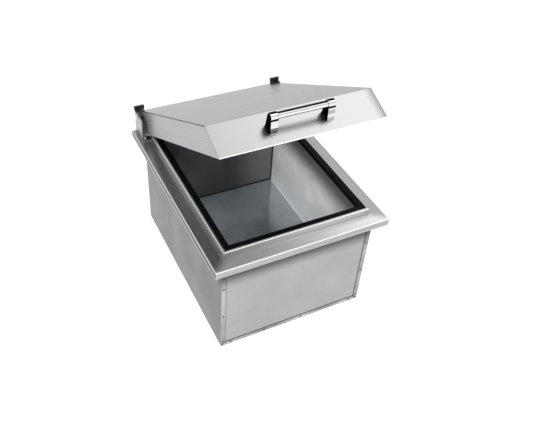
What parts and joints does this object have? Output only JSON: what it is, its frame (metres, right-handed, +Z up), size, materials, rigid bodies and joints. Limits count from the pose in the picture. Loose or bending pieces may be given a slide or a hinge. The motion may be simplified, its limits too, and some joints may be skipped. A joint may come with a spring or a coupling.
{
  "type": "drop-in cooler",
  "caption": "Insulated steel tub that drops into a counter cut-out and hangs by its top flange, with a sloped lid on side hinges, a bar handle and a floor drain.",
  "frame": {"origin": "centre of the underside: the middle of the flange's width and length, on the bottom of the box", "axes": "+X to the user's right, +Y towards the hinges, +Z up; the handle faces -Y"},
  "size_m": [0.432, 0.552, 0.597],
  "materials": {
    "sheet": "satin",
    "bracket_steel": "satin",
    "chrome": "polished",
    "black_pvc": "gloss",
    "black_rubber": "matte",
    "nylon": "satin",
    "foam": "matte",
    "brass": "satin"
  },
  "bodies": {
    "tub": {"outer_wrap": "sheet", "front_panel": "sheet", "rear_panel": "sheet", "top_flange": "sheet", "inner_liner": "sheet", "hinge_bracket_left": "bracket_steel", "hinge_bracket_right": "bracket_steel", "hinge_nuts": "bracket_steel", "bracket_nuts": "bracket_steel", "bracket_screws": "bracket_steel", "drain_strainer": "bracket_steel", "hinge_pins": "chrome", "breaker_strip_front": "black_pvc", "breaker_strip_rear": "black_pvc", "breaker_strip_left": "black_pvc", "breaker_strip_right": "black_pvc", "bumper_left": "black_rubber", "bumper_right": "black_rubber", "drain_washer": "black_rubber", "hinge_spacers": "nylon", "insulation_front": "foam", "insulation_rear": "foam", "insulation_left": "foam", "insulation_right": "foam", "insulation_bottom": "foam", "drain_body": "brass", "drain_locknut": "brass"},
    "lid": {"lid_skin": "sheet", "lid_side_left": "sheet", "lid_side_right": "sheet", "lid_stiffeners": "bracket_steel", "lid_inner_pan": "sheet", "lid_insulation": "foam", "lid_gasket": "black_rubber", "handle_tube": "chrome", "handle_ferrule_left": "chrome", "handle_ferrule_right": "chrome", "handle_post_left": "chrome", "handle_post_right": "chrome", "handle_screws": "bracket_steel"}
  },
  "joints": [
    {"name": "lid_hinge", "type": "hinge", "parent": "tub", "child": "lid", "pos_m": [0, 0.254, 0.34], "axis": [-1, 0, 0], "range_deg": [-28, 69]}
  ]
}
